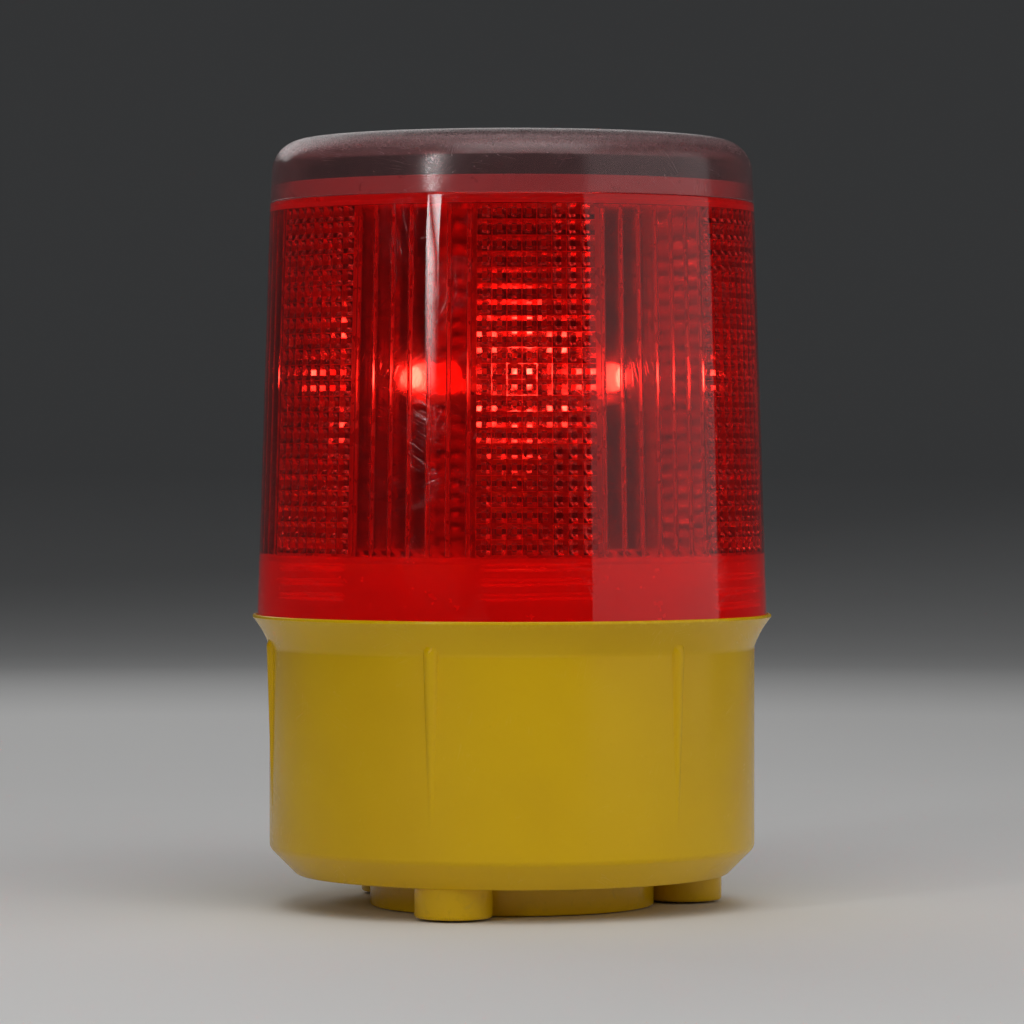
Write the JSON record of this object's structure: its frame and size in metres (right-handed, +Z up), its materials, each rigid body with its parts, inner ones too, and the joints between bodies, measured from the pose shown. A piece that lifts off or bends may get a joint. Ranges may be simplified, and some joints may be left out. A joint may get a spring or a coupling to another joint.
{
  "type": "barricade warning light",
  "caption": "Solar barricade warning light: conical red prismatic lens with a clear cap, screwed into a ribbed yellow base with a flared rim, three feet and a magnet underneath.",
  "frame": {"origin": "on the floor under the middle of the base, which is also under the axis of the lens", "axes": "+Z up along the lamp's axis; -Y through one of the three feet"},
  "size_m": [0.0922, 0.0922, 0.1358],
  "materials": {
    "base_yellow": "satin moulded plastic",
    "lens_red": "transparent red, polished outside",
    "cap_clear": "clear, lightly scratched",
    "gasket_rubber": "matte",
    "steel_pot": "zinc plated",
    "ferrite": "ground ceramic magnet",
    "screw_steel": "zinc plated",
    "holder_black": "moulded",
    "cell_jacket": "shrink sleeve",
    "spring_steel": "nickel plated",
    "board_green": "solder mask",
    "board_white": "white solder mask",
    "chip_black": "epoxy",
    "inductor_black": "ferrite drum",
    "capacitor_sleeve": "sleeve",
    "switch_black": "moulded",
    "button_black": "satin",
    "grommet_rubber": "matte",
    "column_white": "moulded",
    "led_red": "red epoxy, lit",
    "tinned_wire": "tinned",
    "resistor_black": "chip",
    "tray_black": "moulded",
    "panel_board": "glass fibre board",
    "silicon": "dark blue silicon",
    "resin_clear": "clear epoxy",
    "wire_red": "insulation",
    "wire_black": "insulation"
  },
  "bodies": {
    "base": {"base_housing": "base_yellow", "deck": "base_yellow", "magnet_cup": "steel_pot", "magnet_ring": "ferrite", "magnet_screw": "screw_steel", "battery_holder": "holder_black", "battery_cell_1": "cell_jacket", "battery_cell_2": "cell_jacket", "contact_springs": "spring_steel", "contact_plates": "spring_steel", "control_board": "board_green", "driver_chip": "chip_black", "inductor": "inductor_black", "capacitors": "capacitor_sleeve", "switch_body": "switch_black", "switch_spring": "spring_steel", "switch_grommet": "grommet_rubber", "lower_column": "column_white", "led_board": "board_white", "leds": "led_red", "led_legs": "tinned_wire", "led_resistors": "resistor_black", "upper_column": "column_white", "solar_tray": "tray_black", "solar_board": "panel_board", "solar_cells": "silicon", "solar_resin": "resin_clear", "chassis_screws": "screw_steel", "board_screws": "screw_steel", "holder_screws": "screw_steel", "foot_screws": "screw_steel", "joint_screws": "screw_steel", "tray_screws": "screw_steel", "solar_lead_red": "wire_red", "solar_lead_black": "wire_black", "lamp_lead_red": "wire_red", "lamp_lead_black": "wire_black", "battery_lead_red": "wire_red", "battery_lead_black": "wire_black"},
    "lens_carrier": {"gasket": "gasket_rubber"},
    "lens": {"lens": "lens_red", "top_cap": "cap_clear"},
    "button": {"switch_button": "button_black"}
  },
  "joints": [
    {"name": "lens_rise", "type": "slide", "parent": "base", "child": "lens_carrier", "axis": [0, 0, 1], "range_m": [0, 0.0075]},
    {"name": "lens_turn", "type": "hinge", "parent": "lens_carrier", "child": "lens", "pos_m": [0, 0, 0.0518], "axis": [0, 0, 1], "range_deg": [0, 1080]},
    {"name": "switch_press", "type": "slide", "parent": "base", "child": "button", "axis": [0, 0, 1], "range_m": [0, 0.0009], "stiffness_N_per_m": 1500, "springref_m": -0.0004, "deforming": ["switch_spring"]}
  ],
  "couplings": [
    {"joint": "lens_rise", "follows": "lens_turn", "m_per_rad": 0.00039789}
  ]
}
